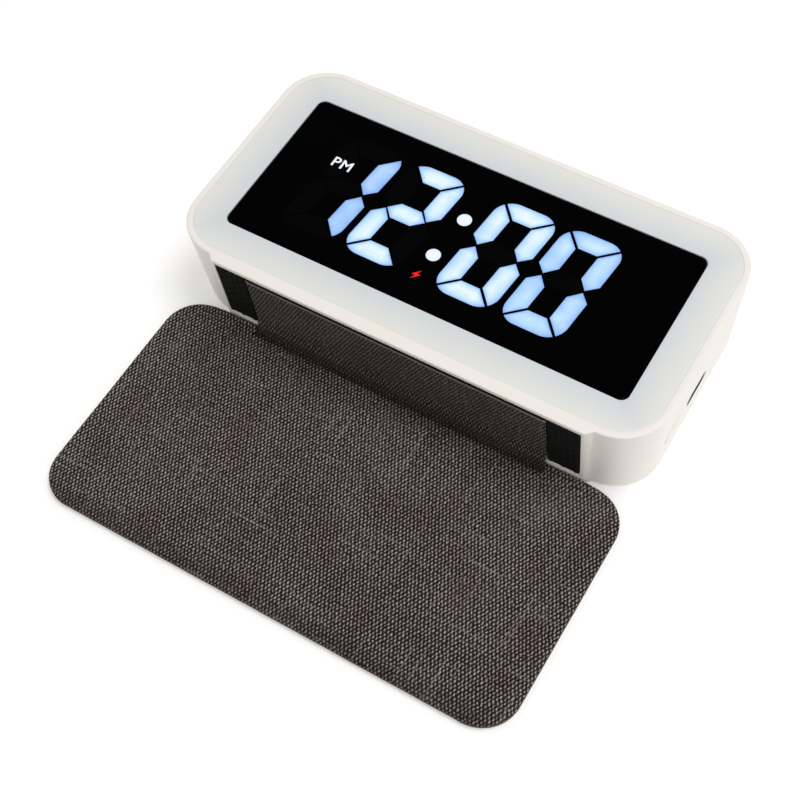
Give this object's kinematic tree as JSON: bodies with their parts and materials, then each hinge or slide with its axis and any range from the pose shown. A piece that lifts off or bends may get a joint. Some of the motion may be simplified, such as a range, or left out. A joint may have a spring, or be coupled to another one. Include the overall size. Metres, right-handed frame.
{
  "type": "alarm clock",
  "caption": "Rechargeable LED alarm clock with a night-light ring around its display, lying on its back with its hinged fabric cover folded out flat.",
  "frame": {"origin": "middle of the footprint of the clock and its folded-out cover, on the surface it lies on", "axes": "+X along the clock's long side to the right of the display, +Y towards the top of the display, +Z out of the display"},
  "size_m": [0.1124, 0.1132, 0.0231],
  "materials": {
    "shell": "satin cream moulding",
    "button": "satin cream moulding",
    "diffuser": "frosted translucent white",
    "window": "glossy smoked black",
    "digit": "white reflector",
    "rubber": "matte black, studded",
    "cloth": "coarse linen-look weave, grey brown",
    "lining": "pale smooth lining",
    "board": "solder mask",
    "card": "stiff grey board",
    "steel": "nickel plated",
    "black_plastic": "moulded",
    "cell": "foil pouch",
    "lead": "insulated wire"
  },
  "bodies": {
    "clock": {"housing": "shell", "rear_cover": "shell", "light_ring": "diffuser", "display_window": "window", "digit_module": "digit", "main_board": "board", "ring_light_board": "board", "battery_cell": "cell", "battery_lead": "lead", "speaker": "black_plastic", "usb_c_socket": "steel", "anti_slip_pad_left": "rubber", "anti_slip_pad_right": "rubber", "spine_board": "card", "spine_cloth": "cloth", "hinge_cloth": "cloth", "rear_screw_1": "steel", "rear_screw_2": "steel", "rear_screw_3": "steel", "rear_screw_4": "steel", "set_switch": "black_plastic", "up_switch": "black_plastic", "down_switch": "black_plastic", "mode_switch": "black_plastic", "side_switch": "black_plastic", "snooze_switch": "black_plastic", "body_magnet_left": "steel", "body_magnet_right": "steel"},
    "cover": {"cover_lining": "lining", "cover_board": "card", "cover_cloth": "cloth", "cover_magnet_left": "steel", "cover_magnet_right": "steel"},
    "side_button": {"side_button": "button"},
    "snooze_button": {"snooze_button": "button"},
    "set_button": {"set_button": "button"},
    "up_button": {"up_button": "button"},
    "down_button": {"down_button": "button"},
    "mode_button": {"mode_button": "button"}
  },
  "joints": [
    {"name": "cover_fold", "type": "hinge", "parent": "clock", "child": "cover", "pos_m": [0, -0.0022, 0], "axis": [-1, 0, 0], "range_deg": [-175, 80], "deforming": ["hinge_cloth"]},
    {"name": "side_button_press", "type": "slide", "parent": "clock", "child": "side_button", "axis": [-1, 0, 0], "range_m": [0, 0.0004], "stiffness_N_per_m": 700, "springref_m": -0.0005},
    {"name": "snooze_button_press", "type": "slide", "parent": "clock", "child": "snooze_button", "axis": [0, -1, 0], "range_m": [0, 0.0005], "stiffness_N_per_m": 900, "springref_m": -0.0005},
    {"name": "set_button_press", "type": "slide", "parent": "clock", "child": "set_button", "axis": [0, 0, 1], "range_m": [0, 0.0005], "stiffness_N_per_m": 700, "springref_m": -0.0005},
    {"name": "up_button_press", "type": "slide", "parent": "clock", "child": "up_button", "axis": [0, 0, 1], "range_m": [0, 0.0005], "stiffness_N_per_m": 700, "springref_m": -0.0005},
    {"name": "down_button_press", "type": "slide", "parent": "clock", "child": "down_button", "axis": [0, 0, 1], "range_m": [0, 0.0005], "stiffness_N_per_m": 700, "springref_m": -0.0005},
    {"name": "mode_button_press", "type": "slide", "parent": "clock", "child": "mode_button", "axis": [0, 0, 1], "range_m": [0, 0.0005], "stiffness_N_per_m": 700, "springref_m": -0.0005}
  ]
}
